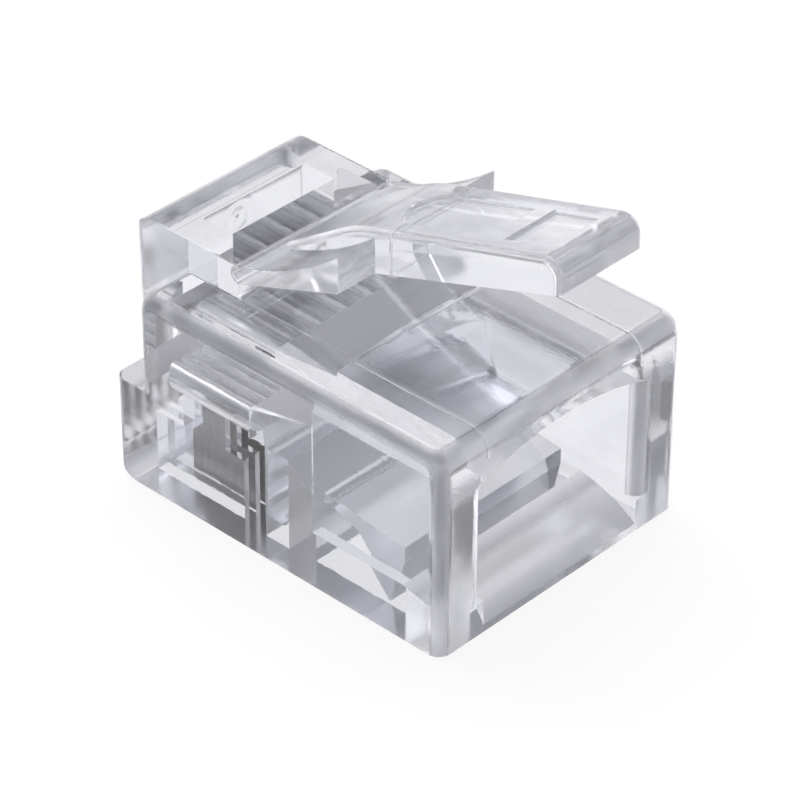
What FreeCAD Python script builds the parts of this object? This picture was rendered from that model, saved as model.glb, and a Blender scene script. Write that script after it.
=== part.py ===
# Six position modular plug: clear moulded housing, spring latch, two crimp bars and four contact blades.
# Frame: X across the plug, +Y towards the nose, +Z towards the latch. The contact face lies on Z = 0,
# and Y = 0 is midway between the rear face and the front of the lower nose. Millimetres.
import FreeCAD
import Part
import Sketcher
import os

SIZES = {
    # Moulded body
    "body_width": 9.65,
    "body_length": 12.44,
    "body_height": 6.46,
    "nose_height": 3.30,
    "nose_setback": 1.02,
    "nose_corner_round": 0.38,
    "nose_bottom_round": 0.80,
    "rear_top_round": 0.60,
    "front_top_round": 0.50,
    "side_round": 0.42,
    # Nose block that carries the latch
    "block_width": 6.08,
    "block_overhang": 0.98,
    "block_reach": 3.25,
    "block_rise": 1.02,
    "block_depth": 3.15,
    "block_top_round": 0.88,
    "block_corner_round": 0.50,
    "block_under_round": 0.30,
    "block_foot_round": 0.18,
    "window_width": 3.96,
    "window_length": 1.15,
    "window_front_wall": 1.79,
    "window_depth": 2.60,
    # Latch and its living hinge
    "hinge_radius": 0.27,
    "hinge_clearance": 0.02,
    "wing_length": 3.77,
    "wing_top_slope": 15.0,
    "wing_shoulder_rise": 2.24,
    "wing_top_round": 10.0,
    "wing_under_slope": 20.5,
    "tab_width": 3.25,
    "tab_thickness": 1.08,
    "tab_slope": 16.6,
    "tab_under_slope": 19.0,
    "tab_overhang": 1.03,
    "tab_end_round": 0.50,
    "tab_edge_round": 0.20,
    "tab_head_round": 4.0,
    "tab_head_rise": 2.24,
    "tab_head_reach": 2.97,
    "ramp_slope": 33.4,
    "ramp_root": 0.31,
    "grip_width": 2.00,
    "grip_depth": 0.13,
    "grip_front": 0.66,
    "grip_split": 4.42,
    "grip_band": 0.58,
    "grip_back": 6.68,
    "grip_corner_round": 0.94,
    "grip_floor_round": 0.10,
    # Cable mouth
    "cavity_width": 6.20,
    "cavity_depth": 5.42,
    "cavity_floor": 1.05,
    "cavity_ceiling": 5.58,
    "cavity_arch": 0.52,
    "mouth_lip_round": 0.50,
    "ramp_length": 2.06,
    "ramp_lip": 0.08,
    "ramp_round": 4.45,
    # Jacket anchor bar and its hinge
    "anchor_wall_gap": 0.45,
    "anchor_side_gap": 0.10,
    "anchor_rear_gap": 0.33,
    "anchor_length": 2.61,
    "anchor_web": 0.42,
    "anchor_hinge_radius": 0.16,
    "anchor_hinge_rise": 1.98,
    "anchor_fall": 6.0,
    "anchor_root_slope": 19.0,
    "anchor_root_length": 0.92,
    "anchor_lip": 0.50,
    "anchor_foot_reach": 2.26,
    "anchor_foot_width": 0.10,
    "anchor_foot_rise": 0.03,
    # Conductor anchor bar and its pocket
    "clamp_width": 6.00,
    "clamp_length": 0.80,
    "cavity_wall": 0.97,
    "clamp_gap": 0.05,
    "clamp_rise": 0.65,
    "clamp_top": 2.95,
    "clamp_round": 0.28,
    # Wire funnel and wire bores
    "funnel_width": 6.10,
    "funnel_floor": 2.25,
    "funnel_roof": 4.60,
    "funnel_end_wall": 0.40,
    "bore_rise": 3.52,
    "bore_diameter": 0.94,
    "bore_end_wall": 0.45,
    # Contact slots and blades
    "slot_count": 6,
    "slot_pitch": 1.02,
    "slot_front_wall": 0.77,
    "blade_count": 4,
    "blade_thickness": 0.35,
    "blade_clearance": 0.03,
    "contact_wall": 1.03,
    "blade_length": 2.73,
    "blade_rise": 0.03,
    "blade_height": 1.35,
    "blade_travel": 0.60,
    "tine_setback": 0.70,
    "tine_width": 1.60,
    "tine_height": 1.57,
    "tine_notch": 0.50,
    "tine_notch_depth": 0.45,
    "tine_bevel": 0.18,
    # How far a cutting outline runs past the face it opens
    "overrun": 0.50,
}

REAR = "(-spec.body_length / 2)"
NOSE = "(spec.body_length / 2)"
SHOULDER_FRONT = f"({NOSE} - spec.nose_setback)"
TOP = "spec.body_height"
BLOCK_FRONT = f"({NOSE} + spec.block_overhang)"
BLOCK_REAR = f"({NOSE} - spec.block_reach)"
BLOCK_TOP = f"({TOP} + spec.block_rise)"
BLOCK_UNDER = f"({BLOCK_TOP} - spec.block_depth)"
HINGE_Y = BLOCK_REAR
HINGE_Z = f"({BLOCK_TOP} - spec.hinge_radius)"
CAVITY_FRONT = f"({REAR} + spec.cavity_depth)"
RAMP_TOP = f"({REAR} + spec.ramp_length)"
ANCHOR_Y = f"({CAVITY_FRONT} - spec.anchor_web)"
ANCHOR_Z = "spec.anchor_hinge_rise"
ANCHOR_REAR = f"({ANCHOR_Y} - spec.anchor_length)"
ANCHOR_WIDTH = "(spec.cavity_width - 2 * spec.anchor_wall_gap)"
CLAMP_START = f"({CAVITY_FRONT} + spec.cavity_wall)"
CLAMP_END = f"({CLAMP_START} + spec.clamp_length)"
BLADE_START = f"({CLAMP_END} + spec.contact_wall)"
FUNNEL_END = f"({BLADE_START} - spec.funnel_end_wall)"
SLOT_WIDTH = "(spec.blade_thickness + 2 * spec.blade_clearance)"
FIRST_SLOT = "(-spec.slot_pitch * (spec.slot_count - 1) / 2)"

# Two points nearer than this count as the same place
MATCH = 1e-4

doc = FreeCAD.newDocument("modular_plug")
sheet = doc.addObject("Spreadsheet::Sheet", "spec")
for row, (alias, size) in enumerate(SIZES.items(), start=1):
    sheet.set(f"A{row}", alias)
    sheet.set(f"B{row}", str(size))
    sheet.setAlias(f"B{row}", alias)
doc.recompute()


def number(expression):
    """Value of an expression over the sheet, for placing sketch geometry before it is constrained."""
    return float(sheet.evalExpression(expression))


def new_body(label):
    body = doc.addObject("PartDesign::Body", label)
    body.Label = label
    body.Placement = FreeCAD.Placement()
    return body


def new_sketch(body, name, role, offset):
    """Sketch on one of the body's origin planes, moved along that plane's normal by an expression."""
    sketch = body.newObject("Sketcher::SketchObject", name)
    plane = [feature for feature in body.Origin.OriginFeatures if feature.Role == role][0]
    sketch.AttachmentSupport = [(plane, "")]
    sketch.MapMode = "FlatFace"
    sketch.setExpression("AttachmentOffset.Base.z", offset)
    return sketch


def bind(sketch, kind, geometry, point, expression):
    """Dimension from the sketch origin to a point, bound to an expression."""
    index = sketch.addConstraint(Sketcher.Constraint(kind, -1, 1, geometry, point, number(expression)))
    sketch.setExpression(f"Constraints[{index}]", expression)


def arc_between(start, end, radius, hollow=False):
    """Arc of the short way round from start to end, which bows to the right of the way there, or to
    the left where it is hollow."""
    chord = end - start
    middle = (start + end) / 2
    half = chord.Length / 2
    rise = (radius ** 2 - half ** 2) ** 0.5 if radius > half else 0
    bow = FreeCAD.Vector(chord.y, -chord.x, 0).normalize()
    if hollow:
        bow = bow * -1
    return Part.Arc(start, middle + bow * (radius - rise), end)


def outline(body, name, role, points, offset="0"):
    """Closed sketch through points given as expressions. A point with a third entry is reached by an
    arc of that radius, hollow where a fourth entry says so, and every other point by a straight line."""
    sketch = new_sketch(body, name, role, offset)
    places = [FreeCAD.Vector(number(point[0]), number(point[1]), 0) for point in points]
    count = len(points)
    # A sketch keeps every arc the same way round, so the two ends of a hollow arc trade places
    ends = []
    for index in range(count):
        after = (index + 1) % count
        curve = Part.LineSegment(places[index], places[after])
        hollow = len(points[after]) > 3
        if len(points[after]) > 2:
            curve = arc_between(places[index], places[after], number(points[after][2]), hollow)
        sketch.addGeometry(curve, False)
        ends.append((2, 1) if hollow else (1, 2))
    for index in range(count):
        after = (index + 1) % count
        joined = Sketcher.Constraint("Coincident", index, ends[index][1], after, ends[after][0])
        sketch.addConstraint(joined)
    for index, point in enumerate(points):
        bind(sketch, "DistanceX", index, ends[index][0], point[0])
        bind(sketch, "DistanceY", index, ends[index][0], point[1])
        if len(point) > 2:
            arc = (index - 1) % count
            radius = sketch.addConstraint(Sketcher.Constraint("Radius", arc, number(point[2])))
            sketch.setExpression(f"Constraints[{radius}]", point[2])
    return sketch


def disc(body, name, role, centre, diameter, offset="0"):
    """Sketch of one circle about a centre given as two expressions."""
    sketch = new_sketch(body, name, role, offset)
    middle = FreeCAD.Vector(number(centre[0]), number(centre[1]), 0)
    circle = Part.Circle(middle, FreeCAD.Vector(0, 0, 1), number(diameter) / 2)
    sketch.addGeometry(circle, False)
    bind(sketch, "DistanceX", 0, 3, centre[0])
    bind(sketch, "DistanceY", 0, 3, centre[1])
    size = sketch.addConstraint(Sketcher.Constraint("Diameter", 0, number(diameter)))
    sketch.setExpression(f"Constraints[{size}]", diameter)
    return sketch


def extrude(body, kind, name, sketch, length, symmetric=True, reverse=False):
    """Pad or pocket of a sketch, and a check that it changed the body's volume."""
    before = body.Shape.Volume if body.Tip else 0
    feature = body.newObject(f"PartDesign::{kind}", name)
    feature.Profile = sketch
    feature.setExpression("Length", length)
    feature.SideType = "Symmetric" if symmetric else "One side"
    feature.Reversed = reverse
    doc.recompute()
    changed = body.Shape.Volume - before
    if (changed <= 0) if kind == "Pad" else (changed >= 0):
        raise RuntimeError(f"{name} left the volume of {body.Label} as it was")
    return feature


def pad(body, name, sketch, length, symmetric=True, reverse=False):
    return extrude(body, "Pad", name, sketch, length, symmetric, reverse)


def cut(body, name, sketch, length, symmetric=True, reverse=False):
    return extrude(body, "Pocket", name, sketch, length, symmetric, reverse)


def edges_at(shape, side=None, along=None, height=None):
    """Names of the edges whose ends all lie at the given Y and Z, and at X = side or all at X = -side."""
    places = [(1, along), (2, height)]
    wanted = [[(axis, number(place)) for axis, place in places if place is not None]]
    if side is not None:
        wanted = [wanted[0] + [(0, sign * number(side))] for sign in (-1, 1)]
    names = []
    for index, edge in enumerate(shape.Edges, start=1):
        ends = [vertex.Point for vertex in edge.Vertexes]
        for tests in wanted:
            if all(abs(end[axis] - place) < MATCH for axis, place in tests for end in ends):
                names.append(f"Edge{index}")
    return names


def round_edges(body, name, radius, **where):
    """Fillet of the edges found at a place on the body's last feature."""
    base = body.Tip
    feature = body.newObject("PartDesign::Fillet", name)
    feature.Base = (base, edges_at(base.Shape, **where))
    feature.setExpression("Radius", radius)
    doc.recompute()
    return feature


def round_through(body, name, radius, places):
    """Fillet of the edges that pass through the given places on the body's last feature."""
    base = body.Tip
    spots = [Part.Vertex(*[number(entry) for entry in place]) for place in places]
    names = [f"Edge{index}" for index, edge in enumerate(base.Shape.Edges, start=1)
             if any(edge.distToShape(spot)[0] < MATCH for spot in spots)]
    feature = body.newObject("PartDesign::Fillet", name)
    feature.Base = (base, names)
    feature.setExpression("Radius", radius)
    doc.recompute()
    return feature


def rectangle(left, low, right, high):
    """Corners of an upright rectangle for an outline."""
    return [(left, low), (right, low), (right, high), (left, high)]


def build_housing():
    body = new_body("housing")
    side = "(spec.body_width / 2)"

    # Stepped body: the lower nose runs on past the taller part behind it
    body_profile = [(REAR, "0"), (NOSE, "0"), (NOSE, "spec.nose_height"),
                    (SHOULDER_FRONT, "spec.nose_height"), (SHOULDER_FRONT, TOP), (REAR, TOP)]
    sketch = outline(body, "body_profile", "YZ_Plane", body_profile)
    pad(body, "body_block", sketch, "spec.body_width")
    round_edges(body, "nose_corners", "spec.nose_corner_round", side=side, along=NOSE)
    round_edges(body, "rear_top_edge", "spec.rear_top_round", along=REAR, height=TOP)
    round_edges(body, "front_top_edge", "spec.front_top_round", along=SHOULDER_FRONT, height=TOP)
    round_edges(body, "side_edges", "spec.side_round", side=side, height=TOP)
    bottom_round = "spec.nose_bottom_round"
    nose_corner = [(f"{NOSE} - {bottom_round}", "0"), (NOSE, bottom_round, bottom_round),
                   (f"{NOSE} + spec.overrun", bottom_round), (f"{NOSE} + spec.overrun", "-spec.overrun"),
                   (f"{NOSE} - {bottom_round}", "-spec.overrun")]
    sketch = outline(body, "nose_bottom_profile", "YZ_Plane", nose_corner)
    cut(body, "nose_bottom", sketch, "spec.body_width + spec.overrun")

    build_nose_block(body)
    build_cable_mouth(body)
    build_wire_ways(body)
    return body


def build_nose_block(body):
    half = "(spec.block_width / 2)"
    corner = "spec.block_corner_round"
    plan = [(f"-{half}", BLOCK_REAR), (half, BLOCK_REAR), (half, f"{BLOCK_FRONT} - {corner}"),
            (f"{half} - {corner}", BLOCK_FRONT, corner), (f"-{half} + {corner}", BLOCK_FRONT),
            (f"-{half}", f"{BLOCK_FRONT} - {corner}", corner)]
    sketch = outline(body, "block_plan", "XY_Plane", plan, BLOCK_UNDER)
    pad(body, "nose_block", sketch, "spec.block_depth", symmetric=False)

    width = "spec.block_width + spec.overrun"
    outer = f"{BLOCK_FRONT} + spec.overrun"
    top_round = "spec.block_top_round"
    crown_rear = f"({BLOCK_FRONT} - {top_round})"
    crown = [(BLOCK_FRONT, f"{BLOCK_TOP} - {top_round}"), (crown_rear, BLOCK_TOP, top_round),
             (crown_rear, f"{BLOCK_TOP} + spec.overrun"),
             (outer, f"{BLOCK_TOP} + spec.overrun"), (outer, f"{BLOCK_TOP} - {top_round}")]
    cut(body, "block_top_edge", outline(body, "block_top_profile", "YZ_Plane", crown), width)
    under_round = "spec.block_under_round"
    chin = [(f"{BLOCK_FRONT} - {under_round}", BLOCK_UNDER),
            (BLOCK_FRONT, f"{BLOCK_UNDER} + {under_round}", under_round),
            (outer, f"{BLOCK_UNDER} + {under_round}"), (outer, f"{BLOCK_UNDER} - spec.overrun"),
            (f"{BLOCK_FRONT} - {under_round}", f"{BLOCK_UNDER} - spec.overrun")]
    cut(body, "block_under_edge", outline(body, "block_under_profile", "YZ_Plane", chin), width)

    # Window in front of the hinge
    front = f"({BLOCK_FRONT} - spec.window_front_wall)"
    side = "(spec.window_width / 2)"
    window = rectangle(f"-{side}", f"{front} - spec.window_length", side, front)
    sketch = outline(body, "window_plan", "XY_Plane", window, f"{BLOCK_TOP} + spec.overrun")
    cut(body, "block_window", sketch, "spec.window_depth + spec.overrun", symmetric=False)

    # Rounded foot of the block, then the hollow seat that the latch's rounded root turns in
    round_edges(body, "block_foot", "spec.block_foot_round", along=BLOCK_REAR, height=TOP)
    seat = "2 * (spec.hinge_radius + spec.hinge_clearance)"
    sketch = disc(body, "hinge_seat_profile", "YZ_Plane", (HINGE_Y, HINGE_Z), seat)
    cut(body, "hinge_seat", sketch, width)


def build_cable_mouth(body):
    half = "(spec.cavity_width / 2)"
    spring = "(spec.cavity_ceiling - spec.cavity_arch)"
    arch = f"(({half} ^ 2 + spec.cavity_arch ^ 2) / (2 * spec.cavity_arch))"
    mouth = [(f"-{half}", "spec.cavity_floor"), (half, "spec.cavity_floor"), (half, spring),
             (f"-{half}", spring, arch)]
    sketch = outline(body, "mouth_profile", "XZ_Plane", mouth, f"-{REAR} + spec.overrun")
    cut(body, "cable_cavity", sketch, "spec.cavity_depth + spec.overrun", symmetric=False)
    round_edges(body, "mouth_lips", "spec.mouth_lip_round", side=half, along=REAR)

    # The floor falls away to the rear edge as a bell mouth
    fall = "((spec.cavity_floor - spec.ramp_lip) / spec.ramp_length * spec.overrun)"
    ramp = [(RAMP_TOP, "spec.cavity_floor"),
            (f"{REAR} - spec.overrun", f"spec.ramp_lip - {fall}", "spec.ramp_round"),
            (f"{REAR} - spec.overrun", "spec.cavity_floor + spec.overrun"),
            (RAMP_TOP, "spec.cavity_floor + spec.overrun")]
    cut(body, "mouth_ramp", outline(body, "ramp_profile", "YZ_Plane", ramp), "spec.cavity_width")

    # Opening in the floor that the jacket anchor swings through
    side = f"({ANCHOR_WIDTH} / 2 + spec.anchor_side_gap)"
    opening = rectangle(f"-{side}", f"{ANCHOR_REAR} - spec.anchor_rear_gap", side, CAVITY_FRONT)
    sketch = outline(body, "anchor_opening_plan", "XY_Plane", opening, "-spec.overrun")
    cut(body, "anchor_opening", sketch, "spec.cavity_floor + 2 * spec.overrun", symmetric=False, reverse=True)

    # Ledge on the front wall with the hollow seat of the jacket anchor's hinge
    radius = "spec.anchor_hinge_radius"
    ledge_front = f"{CAVITY_FRONT} + spec.overrun"
    ledge = rectangle(ANCHOR_Y, f"{ANCHOR_Z} - {radius}", ledge_front, f"{ANCHOR_Z} + {radius}")
    pad(body, "anchor_ledge", outline(body, "anchor_ledge_profile", "YZ_Plane", ledge), ANCHOR_WIDTH)
    seat = f"2 * ({radius} + spec.hinge_clearance)"
    sketch = disc(body, "anchor_seat_profile", "YZ_Plane", (ANCHOR_Y, ANCHOR_Z), seat)
    cut(body, "anchor_seat", sketch, ANCHOR_WIDTH)


def build_wire_ways(body):
    # Funnel from the cable mouth down to the wire bores
    bore_low = "(spec.bore_rise - spec.bore_diameter / 2)"
    bore_high = "(spec.bore_rise + spec.bore_diameter / 2)"
    funnel = [(CAVITY_FRONT, "spec.funnel_floor"), (CLAMP_START, bore_low), (FUNNEL_END, bore_low),
              (FUNNEL_END, bore_high), (CAVITY_FRONT, "spec.funnel_roof")]
    cut(body, "wire_funnel", outline(body, "funnel_profile", "YZ_Plane", funnel), "spec.funnel_width")

    # Pocket of the conductor anchor, open at the contact face
    side = "(spec.clamp_width / 2 + spec.clamp_gap)"
    pocket = rectangle(f"-{side}", f"{CLAMP_START} - spec.clamp_gap", side, f"{CLAMP_END} + spec.clamp_gap")
    sketch = outline(body, "clamp_pocket_plan", "XY_Plane", pocket, "-spec.overrun")
    cut(body, "clamp_pocket", sketch, "spec.bore_rise + spec.overrun", symmetric=False, reverse=True)

    # One contact slot with its wire bore, then the row of six
    gap = "spec.blade_clearance"
    start = f"({BLADE_START} - {gap})"
    roof = f"(spec.blade_rise + spec.blade_height + spec.blade_travel + {gap})"
    tine_start = f"({BLADE_START} + spec.tine_setback - {gap})"
    tine_end = f"({BLADE_START} + spec.tine_setback + spec.tine_width + {gap})"
    front = f"({NOSE} - spec.slot_front_wall)"
    slot = [(start, "-spec.overrun"), (front, "-spec.overrun"), (front, roof), (tine_end, roof),
            (tine_end, "spec.bore_rise"), (tine_start, "spec.bore_rise"), (tine_start, roof), (start, roof)]
    sketch = outline(body, "slot_profile", "YZ_Plane", slot, FIRST_SLOT)
    slot_cut = cut(body, "contact_slot", sketch, SLOT_WIDTH)
    bore_start = f"({FUNNEL_END} - spec.overrun)"
    bore_length = f"{SHOULDER_FRONT} - spec.bore_end_wall - {bore_start}"
    centre = (FIRST_SLOT, "spec.bore_rise")
    sketch = disc(body, "bore_profile", "XZ_Plane", centre, "spec.bore_diameter", f"-{bore_start}")
    bore_cut = cut(body, "wire_bore", sketch, bore_length, symmetric=False)
    row = body.newObject("PartDesign::LinearPattern", "slot_row")
    row.Originals = [slot_cut, bore_cut]
    across = [feature for feature in body.Origin.OriginFeatures if feature.Role == "X_Axis"][0]
    row.Direction = (across, [""])
    row.setExpression("Length", "spec.slot_pitch * (spec.slot_count - 1)")
    row.setExpression("Occurrences", "spec.slot_count")
    body.Tip = row
    doc.recompute()


def build_latch():
    body = new_body("latch")
    radius = "spec.hinge_radius"
    top_slope = "spec.wing_top_slope"
    under_slope = "spec.wing_under_slope"
    shoulder = f"({HINGE_Y} - spec.wing_length)"
    top_y = f"({HINGE_Y} + {radius} * sin({top_slope}))"
    top_z = f"({HINGE_Z} + {radius} * cos({top_slope}))"
    under_y = f"({HINGE_Y} - {radius} * sin({under_slope}))"
    under_z = f"({HINGE_Z} - {radius} * cos({under_slope}))"

    # Wings: a rounded root, then a wedge with a hollow top that ends in the two shoulders
    wings = [(under_y, under_z), (top_y, top_z, radius),
             (shoulder, f"{HINGE_Z} + spec.wing_shoulder_rise", "spec.wing_top_round", "hollow"),
             (shoulder, f"{under_z} + ({under_y} - {shoulder}) * tan({under_slope})")]
    pad(body, "latch_wings", outline(body, "wing_profile", "YZ_Plane", wings), "spec.block_width")

    # Tab: a ramp up from the wings, then the sloping thumb piece
    head_y = f"({HINGE_Y} - spec.tab_head_reach)"
    head_z = f"({HINGE_Z} + spec.tab_head_rise)"
    end_y = f"({REAR} - spec.tab_overhang)"
    root_y = f"({HINGE_Y} - spec.ramp_root)"
    root_z = f"({head_z} - ({root_y} - {head_y}) * tan(spec.ramp_slope))"

    def tab_top(along):
        return f"({head_z} + ({head_y} - ({along})) * tan(spec.tab_slope))"

    inner_y = f"({head_y} + spec.overrun)"
    end_under = f"({tab_top(end_y)} - spec.tab_thickness)"
    inner_under = f"({end_under} - ({inner_y} - {end_y}) * tan(spec.tab_under_slope))"
    tab = [(end_y, end_under), (inner_y, inner_under), (root_y, root_z), (head_y, head_z),
           (end_y, tab_top(end_y))]
    pad(body, "thumb_tab", outline(body, "tab_profile", "YZ_Plane", tab), "spec.tab_width")
    round_edges(body, "tab_head", "spec.tab_head_round", along=head_y, height=head_z)
    round_edges(body, "tab_end", "spec.tab_end_round", along=end_y, height=tab_top(end_y))
    side = "(spec.tab_width / 2)"
    middle = f"(({head_y} + {end_y}) / 2)"
    edges = [(f"-{side}", middle, tab_top(middle)), (side, middle, tab_top(middle))]
    round_through(body, "tab_edges", "spec.tab_edge_round", edges)

    # Two shallow finger grips sunk into the sloping top, the front one with a rounded end
    slope = "spec.tab_slope"
    width = "(spec.grip_width / 2)"
    corner = "spec.grip_corner_round"

    def on_tab(name, points):
        """Sketch in the plane of the tab's top, whose second axis falls away towards the nose."""
        sketch = outline(body, name, "XY_Plane", points, head_z)
        tilt = FreeCAD.Rotation(FreeCAD.Vector(-1, 0, 0), number(slope))
        sketch.AttachmentOffset = FreeCAD.Placement(FreeCAD.Vector(), tilt)
        sketch.setExpression("AttachmentOffset.Rotation.Angle", f"{slope} * 1 deg")
        sketch.setExpression("AttachmentOffset.Base.y", head_y)
        return sketch

    def floor_spot(across, along):
        """Place on the floor of a grip, at a distance from the middle and from the tab's head."""
        return (across, f"{head_y} - ({along}) * cos({slope}) - spec.grip_depth * sin({slope})",
                f"{head_z} + ({along}) * sin({slope}) - spec.grip_depth * cos({slope})")

    near = "spec.grip_front"
    far = "spec.grip_split"
    front_grip = [(f"-{width}", f"-{far}"), (width, f"-{far}"), (width, f"-{near} - {corner}"),
                  (f"{width} - {corner}", f"-{near}", corner), (f"-{width} + {corner}", f"-{near}"),
                  (f"-{width}", f"-{near} - {corner}", corner)]
    cut(body, "front_grip", on_tab("front_grip_plan", front_grip), "spec.grip_depth", symmetric=False)
    middle = f"(({near} + {far}) / 2)"
    floor_edges = [floor_spot(width, middle), floor_spot(f"-{width}", middle), floor_spot("0", far)]
    round_through(body, "front_grip_floor", "spec.grip_floor_round", floor_edges)
    near = f"({far} + spec.grip_band)"
    far = "spec.grip_back"
    rear_grip = rectangle(f"-{width}", f"-{far}", width, f"-{near}")
    cut(body, "rear_grip", on_tab("rear_grip_plan", rear_grip), "spec.grip_depth", symmetric=False)
    middle = f"(({near} + {far}) / 2)"
    floor_edges = [floor_spot(width, middle), floor_spot(f"-{width}", middle), floor_spot("0", near),
                   floor_spot("0", far)]
    round_through(body, "rear_grip_floor", "spec.grip_floor_round", floor_edges)
    return body


def build_jacket_anchor():
    body = new_body("jacket_anchor")
    radius = "spec.anchor_hinge_radius"
    fall = "spec.anchor_fall"
    root = "spec.anchor_root_slope"
    under_y = f"({ANCHOR_Y} + {radius} * sin({root}))"
    under_z = f"({ANCHOR_Z} - {radius} * cos({root}))"
    top_y = f"({ANCHOR_Y} - {radius} * sin({fall}))"
    top_z = f"({ANCHOR_Z} + {radius} * cos({fall}))"
    rear_z = f"({top_z} - ({top_y} - {ANCHOR_REAR}) * tan({fall}))"
    foot_y = f"({ANCHOR_Y} - spec.anchor_foot_reach)"
    elbow_y = f"({ANCHOR_Y} - spec.anchor_root_length)"
    profile = [(under_y, under_z), (top_y, top_z, radius), (ANCHOR_REAR, rear_z),
               (ANCHOR_REAR, f"{rear_z} - spec.anchor_lip"),
               (f"{foot_y} - spec.anchor_foot_width / 2", "spec.anchor_foot_rise"),
               (f"{foot_y} + spec.anchor_foot_width / 2", "spec.anchor_foot_rise"),
               (elbow_y, f"{under_z} - ({under_y} - {elbow_y}) * tan({root})")]
    pad(body, "anchor_bar", outline(body, "anchor_profile", "YZ_Plane", profile), ANCHOR_WIDTH)
    return body


def build_conductor_anchor():
    body = new_body("conductor_anchor")
    corner = "spec.clamp_round"
    low = "spec.clamp_rise"
    profile = [(f"{CLAMP_START} + {corner}", low, corner), (f"{CLAMP_END} - {corner}", low),
               (CLAMP_END, f"{low} + {corner}", corner), (CLAMP_END, "spec.clamp_top"),
               (CLAMP_START, "spec.clamp_top"), (CLAMP_START, f"{low} + {corner}")]
    pad(body, "clamp_bar", outline(body, "clamp_profile", "YZ_Plane", profile), "spec.clamp_width")
    return body


def build_contact_blade(place):
    """Stamped blade: a contact plate with a pair of piercing tines above it."""
    body = new_body(f"contact_blade_{place + 1}")
    end = f"({BLADE_START} + spec.blade_length)"
    base = "spec.blade_rise"
    shoulder = "(spec.blade_rise + spec.blade_height)"
    tip = f"({shoulder} + spec.tine_height)"
    low = f"({BLADE_START} + spec.tine_setback)"
    high = f"({low} + spec.tine_width)"
    middle = f"(({low} + {high}) / 2)"
    bevel = "spec.tine_bevel"
    profile = [(BLADE_START, base), (end, base), (end, shoulder), (high, shoulder),
               (high, f"{tip} - {bevel}"),
               (f"{high} - {bevel}", tip), (f"{middle} + spec.tine_notch / 2", tip),
               (middle, f"{tip} - spec.tine_notch_depth"), (f"{middle} - spec.tine_notch / 2", tip),
               (f"{low} + {bevel}", tip), (low, f"{tip} - {bevel}"), (low, shoulder), (BLADE_START, shoulder)]
    across = f"spec.slot_pitch * ({place} - (spec.blade_count - 1) / 2)"
    sketch = outline(body, "blade_profile", "YZ_Plane", profile, across)
    pad(body, "blade_plate", sketch, "spec.blade_thickness")
    return body


parts = [build_housing(), build_latch(), build_jacket_anchor(), build_conductor_anchor()]
parts += [build_contact_blade(place) for place in range(SIZES["blade_count"])]
doc.recompute()

for item in doc.Objects:
    if "Invalid" in item.State or "Error" in item.State:
        raise RuntimeError(f"{item.Label} failed: {item.State}")
for part in parts:
    if part.Shape.isNull() or not part.Shape.isValid() or len(part.Shape.Solids) != 1:
        raise RuntimeError(f"{part.Label} is not one valid solid")

os.makedirs("parts", exist_ok=True)
for part in parts:
    part.Shape.exportStep(f"parts/{part.Label}.step")
    box = part.Shape.BoundBox
    print(f"{part.Label}: {part.Shape.Volume:.3f} mm3, X {box.XMin:.2f} to {box.XMax:.2f}, "
          f"Y {box.YMin:.2f} to {box.YMax:.2f}, Z {box.ZMin:.2f} to {box.ZMax:.2f}")
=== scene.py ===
# %% [markdown]
# # A clear modular plug
# The plug is one clear moulding with metal blades inside. Its walls, bars and hinges come from the packed
# CAD model, which is loaded here as a fixed frame. This lesson gives every surface its finish, adds the
# small marks that moulding leaves, and sets up a bright studio in which clear plastic can be read.

# %% Load the frame
import bpy
import math
from mathutils import Matrix, Vector

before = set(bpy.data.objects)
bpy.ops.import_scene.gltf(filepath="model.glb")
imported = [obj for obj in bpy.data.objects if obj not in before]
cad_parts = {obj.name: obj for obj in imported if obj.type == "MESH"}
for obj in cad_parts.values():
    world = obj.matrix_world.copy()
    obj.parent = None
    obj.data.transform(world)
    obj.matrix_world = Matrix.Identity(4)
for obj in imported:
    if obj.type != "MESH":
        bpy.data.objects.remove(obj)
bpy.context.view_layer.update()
MM = 0.001
print("nodes:", sorted(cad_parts))

# %% [markdown]
# ## A small helper
# The floor, the dome and the finishes below are sums and products of a few masks. This helper adds one
# arithmetic node and takes either a number or another node's output for each of its inputs.

# %% A small helper
def math_node(tree, operation, first, second=None):
    """Math node whose inputs are sockets or plain numbers; gives its output."""
    node = tree.nodes.new("ShaderNodeMath")
    node.operation = operation
    for socket, value in zip(node.inputs, (first, second)):
        if value is None:
            continue
        if isinstance(value, bpy.types.NodeSocket):
            tree.links.new(value, socket)
        else:
            socket.default_value = value
    return node.outputs[0]


print("arithmetic helper ready")

# %% [markdown]
# ## Camera
# The view was solved from the straight edges of the body: a long lens, from above, over the rear left
# corner. A camera can be aimed with a constraint, but a matrix built from its three axes is exact and needs
# no target.

# %% Camera
CAMERA_PLACE = Vector((-63.55, -60.34, 64.62)) * MM
CAMERA_AZIMUTH = math.radians(-46.572)
CAMERA_ELEVATION = math.radians(35.117)
CAMERA_ROLL = math.radians(0.18)
CAMERA_LENS = 173.98
CLIP_NEAR = 5 * MM
CLIP_FAR = 10


def camera_axes():
    """Right, up and back vectors of the solved view."""
    level = math.cos(CAMERA_ELEVATION)
    across = math.sin(CAMERA_AZIMUTH) * level
    along = -math.cos(CAMERA_AZIMUTH) * level
    back = Vector((across, along, math.sin(CAMERA_ELEVATION)))
    flat_right = Vector((math.cos(CAMERA_AZIMUTH), math.sin(CAMERA_AZIMUTH), 0))
    flat_up = back.cross(flat_right)
    right = flat_right * math.cos(CAMERA_ROLL) + flat_up * math.sin(CAMERA_ROLL)
    return right, back.cross(right), back


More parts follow.
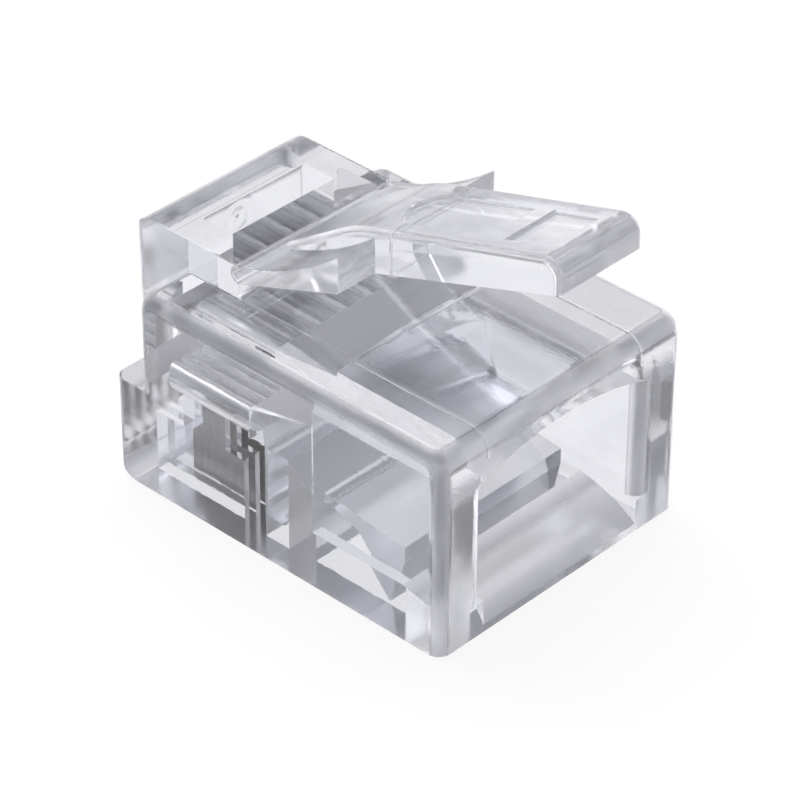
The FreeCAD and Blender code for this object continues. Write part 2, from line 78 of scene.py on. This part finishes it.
def add_camera():
    lens = bpy.data.cameras.new("photo_lens")
    lens.lens = CAMERA_LENS
    lens.clip_start = CLIP_NEAR
    lens.clip_end = CLIP_FAR
    camera = bpy.data.objects.new("photo_camera", lens)
    right, up, back = camera_axes()
    turn = Matrix((right, up, back)).transposed().to_4x4()
    camera.matrix_world = Matrix.Translation(CAMERA_PLACE) @ turn
    bpy.context.scene.collection.objects.link(camera)
    bpy.context.scene.camera = camera
    return camera


camera = add_camera()
bpy.context.scene.view_settings.view_transform = "Standard"
camera_spot = [round(v / MM, 1) for v in camera.matrix_world.translation]
print("camera at", camera_spot, "mm, lens", camera.data.lens)

# %% [markdown]
# ## Floor
# The plug stands on white paper. Light alone would leave the paper grey, so it also glows a little, but only
# for the rays that look at it: straight from the camera, off metal or through the plastic. The diffuse part
# of the paper still darkens under the plug, so the contact shadow stays.

# %% Floor
FLOOR_SIZE = 1.2
FLOOR_DROP = 0.02 * MM
FLOOR_COLOUR = (0.16, 0.16, 0.16)
FLOOR_GLOW = 0.85
PAPER_ROUGHNESS = 0.9


def sees_stage(tree):
    """One for rays that come from the camera, a mirror or clear plastic, else zero."""
    path = tree.nodes.new("ShaderNodeLightPath")
    seen = path.outputs["Is Camera Ray"]
    for kind in ("Is Glossy Ray", "Is Transmission Ray"):
        seen = math_node(tree, "MAXIMUM", seen, path.outputs[kind])
    return seen


def paper():
    material = bpy.data.materials.new("floor_paper")
    material.use_nodes = True
    tree = material.node_tree
    shader = tree.nodes["Principled BSDF"]
    shader.inputs["Base Color"].default_value = (*FLOOR_COLOUR, 1)
    shader.inputs["Roughness"].default_value = PAPER_ROUGHNESS
    shader.inputs["Specular IOR Level"].default_value = 0.0
    shader.inputs["Emission Color"].default_value = (1, 1, 1, 1)
    glow = math_node(tree, "MULTIPLY", sees_stage(tree), FLOOR_GLOW)
    tree.links.new(glow, shader.inputs["Emission Strength"])
    return material


def add_floor():
    half = FLOOR_SIZE / 2
    corners = [(-half, -half, 0), (half, -half, 0), (half, half, 0), (-half, half, 0)]
    mesh = bpy.data.meshes.new("studio_floor")
    mesh.from_pydata(corners, [], [(0, 1, 2, 3)])
    mesh.materials.append(paper())
    floor = bpy.data.objects.new("studio_floor", mesh)
    floor.location.z = -FLOOR_DROP
    bpy.context.scene.collection.objects.link(floor)
    return floor


floor = add_floor()
print("floor", [round(v, 2) for v in floor.dimensions], "m")

# %% [markdown]
# ## Dome
# Clear plastic has hardly a colour of its own. It shows what stands around it, bent by its walls, so the
# studio is the paint. The dome is dim, with soft white cards on it, like the panels of a product studio.
# Lamps could give the same light, but small bright sources inside clear plastic make noise; a dome of wide
# cards does not. The dim gaps between the cards draw the dark lines along the edges. Each card has an
# azimuth and an elevation, an inner and an outer angle, all in degrees, and a level.

# %% Dome
DOME_BASE = 0.15
DOME_TINT = (0.985, 0.985, 1.0)
CARDS = {
    "overhead": (0, 85, 19, 56, 0.20),
    "camera_left": (-160, 8, 12, 48, 1.90),
    "right_low": (-4, 2, 14, 41, 3.15),
    "backdrop": (47, 5, 5, 19, 0.85),
    "front_low": (97, 0, 12, 39, 2.64),
    "front_high": (80, 58, 15, 31, 2.72),
    "right_high": (30, 58, 9, 27, 1.20),
    "rear_low": (-83, 1, 11, 42, 1.78),
}
BACKDROP_WHITE = 1.0
HALF_BOUNCE = 0.5


def card_axis(azimuth, elevation):
    """Direction of a card, from its azimuth and elevation in degrees."""
    turn, rise = math.radians(azimuth), math.radians(elevation)
    return math.cos(rise) * math.cos(turn), math.cos(rise) * math.sin(turn), math.sin(rise)


def add_card(tree, direction, total, azimuth, elevation, inner, outer, level):
    """Add one card, bright within the inner angle and gone at the outer, to the light so far."""
    facing = tree.nodes.new("ShaderNodeVectorMath")
    facing.operation = "DOT_PRODUCT"
    facing.inputs[1].default_value = card_axis(azimuth, elevation)
    tree.links.new(direction, facing.inputs[0])
    edge = tree.nodes.new("ShaderNodeMapRange")
    edge.interpolation_type = "SMOOTHSTEP"
    edge.inputs["From Min"].default_value = math.cos(math.radians(outer))
    edge.inputs["From Max"].default_value = math.cos(math.radians(inner))
    edge.inputs["To Max"].default_value = level
    tree.links.new(facing.outputs["Value"], edge.inputs["Value"])
    return math_node(tree, "ADD", total, edge.outputs["Result"])


def calm_backdrop(tree, total):
    """Keep the light at plain white for rays that only look through the plug, not along its walls."""
    path = tree.nodes.new("ShaderNodeLightPath")
    straight = math_node(tree, "LESS_THAN", path.outputs["Glossy Depth"], HALF_BOUNCE)
    through = math_node(tree, "MULTIPLY", path.outputs["Is Transmission Ray"], straight)
    seen = math_node(tree, "MAXIMUM", path.outputs["Is Camera Ray"], through)
    calm = tree.nodes.new("ShaderNodeMix")
    tree.links.new(seen, calm.inputs["Factor"])
    tree.links.new(total, calm.inputs["A"])
    tree.links.new(math_node(tree, "MINIMUM", total, BACKDROP_WHITE), calm.inputs["B"])
    return calm.outputs["Result"]


def add_dome():
    world = bpy.data.worlds.new("studio_dome")
    bpy.context.scene.world = world
    world.use_nodes = True
    tree = world.node_tree
    direction = tree.nodes.new("ShaderNodeTexCoord").outputs["Generated"]
    total = DOME_BASE
    for card in CARDS.values():
        total = add_card(tree, direction, total, *card)
    background = tree.nodes["Background"]
    background.inputs["Color"].default_value = (*DOME_TINT, 1)
    tree.links.new(calm_backdrop(tree, total), background.inputs["Strength"])


add_dome()
print("dome cards:", list(CARDS))

# %% [markdown]
# ## Rounded edges
# A mould is polished on its flat faces, but a cutter leaves its tool marks in the rounds, so the edges of the
# plug look frosty while its walls stay clear. The normal tells which is which: on a flat wall one part of it
# is close to one. It is taken in the piece's own space, so the mask stays in place when the latch or a bar
# turns. The mask is a node group, because several finishes use it. Its second output is a thin line where a
# round begins. Along that line the plastic's colour is darkened as painted shade, which draws dark edge
# lines.

# %% Rounded edges
EDGE_FLAT = 0.996
EDGE_ROUND = 0.955
LINE_GAIN = 4.0


def new_group(name, inputs, outputs):
    """Empty shader node group with float inputs, given with their first values, and float outputs."""
    group = bpy.data.node_groups.new(name, "ShaderNodeTree")
    for label, value in inputs.items():
        socket = group.interface.new_socket(label, in_out="INPUT", socket_type="NodeSocketFloat")
        socket.default_value = value
    for label in outputs:
        group.interface.new_socket(label, in_out="OUTPUT", socket_type="NodeSocketFloat")
    entry = group.nodes.new("NodeGroupInput")
    exit_node = group.nodes.new("NodeGroupOutput")
    return group, entry, exit_node


def smooth_step(group, value, low, high):
    """Smooth rise from zero at low to one at high."""
    node = group.nodes.new("ShaderNodeMapRange")
    node.interpolation_type = "SMOOTHSTEP"
    group.links.new(value, node.inputs["Value"])
    for label, limit in (("From Min", low), ("From Max", high)):
        if isinstance(limit, bpy.types.NodeSocket):
            group.links.new(limit, node.inputs[label])
        else:
            node.inputs[label].default_value = limit
    return node.outputs["Result"]


def rounded_edge_group():
    inputs = {"Flat": EDGE_FLAT, "Round": EDGE_ROUND}
    group, entry, exit_node = new_group("rounded_edges", inputs, ("Mask", "Line"))
    geometry = group.nodes.new("ShaderNodeNewGeometry")
    local = group.nodes.new("ShaderNodeVectorTransform")
    local.vector_type = "NORMAL"
    local.convert_from, local.convert_to = "WORLD", "OBJECT"
    group.links.new(geometry.outputs["Normal"], local.inputs[0])
    parts = group.nodes.new("ShaderNodeSeparateXYZ")
    group.links.new(local.outputs[0], parts.inputs[0])
    largest = 0.0
    for part in parts.outputs:
        largest = math_node(group, "MAXIMUM", largest, math_node(group, "ABSOLUTE", part))
    flat = smooth_step(group, largest, entry.outputs["Round"], entry.outputs["Flat"])
    mask = math_node(group, "SUBTRACT", 1.0, flat)
    group.links.new(mask, exit_node.inputs["Mask"])
    # Painted shade: this line darkens the plastic's colour where each round meets the flat.
    line = math_node(group, "MULTIPLY", math_node(group, "MULTIPLY", flat, mask), LINE_GAIN)
    group.links.new(line, exit_node.inputs["Line"])
    return group


rounded_edges = rounded_edge_group()
print("group", rounded_edges.name, len(rounded_edges.nodes), "nodes")

# %% [markdown]
# ## Moulded skin
# Even a polished wall is not quite flat: the melt shrinks unevenly, and the mould keeps fine marks of the
# stone that polished it. Two noises give that, a wide one for the swell and a fine stretched one for the
# marks. The group hands out a height for the bump and a roughness that is higher in the rounds.

# %% Moulded skin
SKIN_INPUTS = {
    "Polish": 0.05,
    "Frost": 0.22,
    "Flat": EDGE_FLAT,
    "Round": EDGE_ROUND,
    "Swell": 1.0,
    "Marks": 0.3,
}
SWELL_SCALE = 450
SWELL_DETAIL = 1
MARK_SCALE = 9000
MARK_DETAIL = 2
MARK_STRETCH = (1.0, 0.25, 1.0)


def noise(tree, vector, scale, detail):
    node = tree.nodes.new("ShaderNodeTexNoise")
    node.inputs["Scale"].default_value = scale
    node.inputs["Detail"].default_value = detail
    tree.links.new(vector, node.inputs["Vector"])
    return node.outputs["Fac"]


def stretched_place(tree, factors):
    """Place on the piece, and the same place scaled by a factor for each axis."""
    place = tree.nodes.new("ShaderNodeTexCoord").outputs["Object"]
    stretch = tree.nodes.new("ShaderNodeVectorMath")
    stretch.operation = "MULTIPLY"
    stretch.inputs[1].default_value = factors
    tree.links.new(place, stretch.inputs[0])
    return place, stretch.outputs[0]


def moulded_skin_group():
    group, entry, exit_node = new_group("moulded_skin", SKIN_INPUTS, ("Roughness", "Height", "Line"))
    edge = group.nodes.new("ShaderNodeGroup")
    edge.node_tree = rounded_edges
    for limit in ("Flat", "Round"):
        group.links.new(entry.outputs[limit], edge.inputs[limit])
    place, stretched = stretched_place(group, MARK_STRETCH)
    wide = noise(group, place, SWELL_SCALE, SWELL_DETAIL)
    fine = noise(group, stretched, MARK_SCALE, MARK_DETAIL)
    swell = math_node(group, "MULTIPLY", wide, entry.outputs["Swell"])
    marks = math_node(group, "MULTIPLY", fine, entry.outputs["Marks"])
    group.links.new(math_node(group, "ADD", swell, marks), exit_node.inputs["Height"])
    group.links.new(edge.outputs["Line"], exit_node.inputs["Line"])
    frost = math_node(group, "MULTIPLY", edge.outputs["Mask"], entry.outputs["Frost"])
    rough = math_node(group, "ADD", entry.outputs["Polish"], frost)
    group.links.new(rough, exit_node.inputs["Roughness"])
    return group


moulded_skin = moulded_skin_group()
print("group", moulded_skin.name, len(moulded_skin.nodes), "nodes")

# %% [markdown]
# ## Marks of the mould
# The top of the plug is shaped by a slide that leaves fine raised lines where it meets the mould: one along
# each side of the latch, running over the rear edge, and one across. Where the melt came in, on the front
# wall of the window, the gate was torn off and left a small swirl. All of these are heights in one group,
# made from distances.

# %% Marks of the mould
MARK_INPUTS = {"Lines": 16.0, "Gate": 9.0}
SLIDE_SIDE = 3.04 * MM
SLIDE_END = -1.38 * MM
SLIDE_LOW = 5.70 * MM
LINE_CORE = 0.010 * MM
LINE_FOOT = 0.060 * MM
GATE_PLACE = (-0.66 * MM, 5.41 * MM, 6.86 * MM)
GATE_RADIUS = 0.80 * MM
GATE_RINGS = 14000


def ridge(group, distance):
    """One on a line, falling to zero at its foot, from the signed distance to it."""
    return smooth_step(group, math_node(group, "ABSOLUTE", distance), LINE_FOOT, LINE_CORE)


def slide_lines(group, place):
    """Raised lines along the two sides of the slide and across its end, on top of the plug only."""
    parts = group.nodes.new("ShaderNodeSeparateXYZ")
    group.links.new(place, parts.inputs[0])
    aside = math_node(group, "ABSOLUTE", parts.outputs["X"])
    across = math_node(group, "SUBTRACT", aside, SLIDE_SIDE)
    along = math_node(group, "SUBTRACT", parts.outputs["Y"], SLIDE_END)
    within = math_node(group, "LESS_THAN", across, 0.0)
    between = math_node(group, "MULTIPLY", ridge(group, along), within)
    lines = math_node(group, "MAXIMUM", ridge(group, across), between)
    on_top = math_node(group, "GREATER_THAN", parts.outputs["Z"], SLIDE_LOW)
    return math_node(group, "MULTIPLY", lines, on_top)


def gate_swirl(group, place):
    """Rings around the gate that die away at its radius."""
    offset = group.nodes.new("ShaderNodeVectorMath")
    offset.operation = "DISTANCE"
    offset.inputs[1].default_value = GATE_PLACE
    group.links.new(place, offset.inputs[0])
    distance = offset.outputs["Value"]
    near = smooth_step(group, distance, GATE_RADIUS, 0.0)
    rings = math_node(group, "COSINE", math_node(group, "MULTIPLY", distance, GATE_RINGS))
    return math_node(group, "MULTIPLY", rings, near)


def mould_mark_group():
    group, entry, exit_node = new_group("mould_marks", MARK_INPUTS, ("Height",))
    place = group.nodes.new("ShaderNodeTexCoord").outputs["Object"]
    lines = math_node(group, "MULTIPLY", slide_lines(group, place), entry.outputs["Lines"])
    gate = math_node(group, "MULTIPLY", gate_swirl(group, place), entry.outputs["Gate"])
    group.links.new(math_node(group, "ADD", lines, gate), exit_node.inputs["Height"])
    return group


mould_marks = mould_mark_group()
print("group", mould_marks.name, len(mould_marks.nodes), "nodes")

# %% [markdown]
# ## Clear plastic
# Polycarbonate bends light more than window glass does and has a faint cool cast. The whole plug is one
# plastic, but its mould is not finished alike everywhere: the outer walls are polished, the latch is softer,
# the drilled wire bores are rough, and the slots and the front are in between. So one function makes the
# material, and each finish gives its own values to the skin.

# %% Clear plastic
PLASTIC_IOR = 1.585
PLASTIC_TINT = (0.858, 0.864, 0.903)
# Painted shade: the dark colour mixed into the plastic along the line where each round begins.
EDGE_LINE_SHADE = (0.40, 0.40, 0.44)
SKIN_DEPTH = 0.004 * MM


def clear_plastic(name, **finish):
    """Clear moulding whose skin takes the values given for the group's inputs."""
    material = bpy.data.materials.new(name)
    material.use_nodes = True
    nodes, links = material.node_tree.nodes, material.node_tree.links
    shader = nodes["Principled BSDF"]
    shader.inputs["IOR"].default_value = PLASTIC_IOR
    shader.inputs["Transmission Weight"].default_value = 1.0
    skin = nodes.new("ShaderNodeGroup")
    skin.node_tree = moulded_skin
    for label, value in finish.items():
        skin.inputs[label].default_value = value
    # The plastic's tint, darkened towards painted shade along the edge line.
    tint_and_edge_shade = nodes.new("ShaderNodeMix")
    tint_and_edge_shade.data_type = "RGBA"
    tint_and_edge_shade.inputs["A"].default_value = (*PLASTIC_TINT, 1)
    tint_and_edge_shade.inputs["B"].default_value = (*EDGE_LINE_SHADE, 1)
    links.new(skin.outputs["Line"], tint_and_edge_shade.inputs["Factor"])
    links.new(tint_and_edge_shade.outputs["Result"], shader.inputs["Base Color"])
    marks = nodes.new("ShaderNodeGroup")
    marks.node_tree = mould_marks
    height = math_node(material.node_tree, "ADD", skin.outputs["Height"], marks.outputs["Height"])
    bump = nodes.new("ShaderNodeBump")
    bump.inputs["Distance"].default_value = SKIN_DEPTH
    links.new(height, bump.inputs["Height"])
    links.new(bump.outputs["Normal"], shader.inputs["Normal"])
    links.new(skin.outputs["Roughness"], shader.inputs["Roughness"])
    return material


plastic = clear_plastic("clear_plastic", Polish=0.05, Frost=0.32, Marks=0.5)
latch_plastic = clear_plastic("latch_plastic", Polish=0.10, Frost=0.16, Flat=0.93, Round=0.88)
bore_plastic = clear_plastic("bore_plastic", Polish=0.70, Frost=0.05, Swell=6.0)
slot_plastic = clear_plastic("slot_plastic", Polish=0.08, Frost=0.2, Marks=0.05)
face_plastic = clear_plastic("face_plastic", Polish=0.17, Frost=0.1, Marks=0.05)
plastics = (plastic, latch_plastic, bore_plastic, slot_plastic, face_plastic)
print("plastics", [kind.name for kind in plastics], "index", PLASTIC_IOR)

# %% [markdown]
# ## Contact metal
# The blades are stamped from plated bronze strip. Drawing the strip leaves fine streaks along it. A noise
# that is stretched along the blade gives both the tone and the roughness of the streaks, so they agree.

# %% Contact metal
STREAK_STRETCH = (1.0, 1.0, 0.12)
STREAK_SCALE = 6000
STREAK_DETAIL = 3
STREAK_TONES = ((0.3, (0.11, 0.106, 0.102)), (0.7, (0.25, 0.243, 0.235)))
STREAK_ROUGHNESS = (0.30, 0.48)


def contact_metal():
    material = bpy.data.materials.new("contact_metal")
    material.use_nodes = True
    tree = material.node_tree
    shader = tree.nodes["Principled BSDF"]
    shader.inputs["Metallic"].default_value = 1.0
    stretched = stretched_place(tree, STREAK_STRETCH)[1]
    streaks = noise(tree, stretched, STREAK_SCALE, STREAK_DETAIL)
    tone = tree.nodes.new("ShaderNodeValToRGB")
    for stop, (position, colour) in zip(tone.color_ramp.elements, STREAK_TONES):
        stop.position = position
        stop.color = (*colour, 1)
    tree.links.new(streaks, tone.inputs["Fac"])
    tree.links.new(tone.outputs["Color"], shader.inputs["Base Color"])
    wear = tree.nodes.new("ShaderNodeMapRange")
    wear.inputs["To Min"].default_value, wear.inputs["To Max"].default_value = STREAK_ROUGHNESS
    tree.links.new(streaks, wear.inputs["Value"])
    tree.links.new(wear.outputs["Result"], shader.inputs["Roughness"])
    return material


metal = contact_metal()
print("metal", metal.name)

# %% [markdown]
# ## Joined seats
# On the real plug the latch and the bars are one piece with the housing, joined by thin living hinges. Here
# the latch and the jacket bar each turn on a rounded root in a hollow seat. Left as glass, those seats would
# show as a bright rod. The two skins of a seat lie on each other, so both get a finish that lets light
# straight through, and the joint disappears. A seat is found by its distance from the hinge's axis.

# %% Joined seats
LATCH_HINGE = (2.97, 7.21)
JACKET_HINGE = (-1.22, 1.98)
HINGE_SEATS = {
    "housing": ((LATCH_HINGE, 0.29), (JACKET_HINGE, 0.18)),
    "latch": ((LATCH_HINGE, 0.27),),
    "jacket_anchor": ((JACKET_HINGE, 0.16),),
}
SEAT_MATCH = 0.006


def joined_skin():
    material = bpy.data.materials.new("joined_skin")
    material.use_nodes = True
    shader = material.node_tree.nodes["Principled BSDF"]
    shader.inputs["Alpha"].default_value = 0.0
    return material


def on_seat(place, seats):
    """True where a point in millimetres lies on one of the round seats."""
    for (along, height), radius in seats:
        distance = math.hypot(place.y - along, place.z - height)
        if abs(distance - radius) < SEAT_MATCH:
            return True
    return False


joined = joined_skin()
print("seats on", list(HINGE_SEATS))

# %% [markdown]
# ## Finishes on the nodes
# The frame's meshes keep their shape, and only the material of each face is chosen. On the housing that
# goes by place, in millimetres: the core holds the slots and, above and behind them, the bores and the
# funnel; the contact face and the front have a finish of their own; the rest is plain skin.

# %% Finishes on the nodes
CORE_BOX = ((-2.75, -0.79, 0.01), (2.75, 5.46, 4.80))
BORE_LOW = 3.03
FUNNEL_END = 1.62
FRONT = 6.10
BOTTOM = 0.02
SKIN, SEAT, BORE, SLOT, FACE = range(5)


def finish_at(place):
    """Slot of the finish at a point of the housing, given in millimetres."""
    (left, rear, low), (right, front, high) = CORE_BOX
    if left < place.x < right and rear < place.y < front and low < place.z < high:
        return BORE if place.z > BORE_LOW or place.y < FUNNEL_END else SLOT
    return FACE if place.z < BOTTOM or place.y > FRONT else SKIN


def finish_moulding(name, mesh):
    """Give each face of a moulded piece its finish; gives how many faces each finish has."""
    skin = latch_plastic if name == "latch" else plastic
    for kind in (skin, joined, bore_plastic, slot_plastic, face_plastic):
        mesh.materials.append(kind)
    seats = HINGE_SEATS.get(name, ())
    counts = [0] * len(mesh.materials)
    for face in mesh.polygons:
        corners = [mesh.vertices[index].co / MM for index in face.vertices]
        slot = finish_at(face.center / MM) if name == "housing" else SKIN
        if all(on_seat(corner, seats) for corner in corners):
            slot = SEAT
        face.material_index = slot
        counts[slot] += 1
    return counts


for name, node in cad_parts.items():
    node.data.materials.clear()
    if name.startswith("contact_blade"):
        node.data.materials.append(metal)
        print(name, "in", metal.name)
    else:
        print(name, "skin, seat, bore, slot and front faces", finish_moulding(name, node.data))

# %% [markdown]
# ## Light paths
# A ray through this plug crosses many walls. With the usual few bounces it would stop inside and leave black
# patches that no real plug has.

# %% Light paths
WALL_BOUNCES = 32
MIRROR_BOUNCES = 16
scene = bpy.context.scene
scene.cycles.max_bounces = WALL_BOUNCES
scene.cycles.transmission_bounces = WALL_BOUNCES
scene.cycles.glossy_bounces = MIRROR_BOUNCES
scene.cycles.transparent_max_bounces = MIRROR_BOUNCES
print("bounces", scene.cycles.max_bounces)
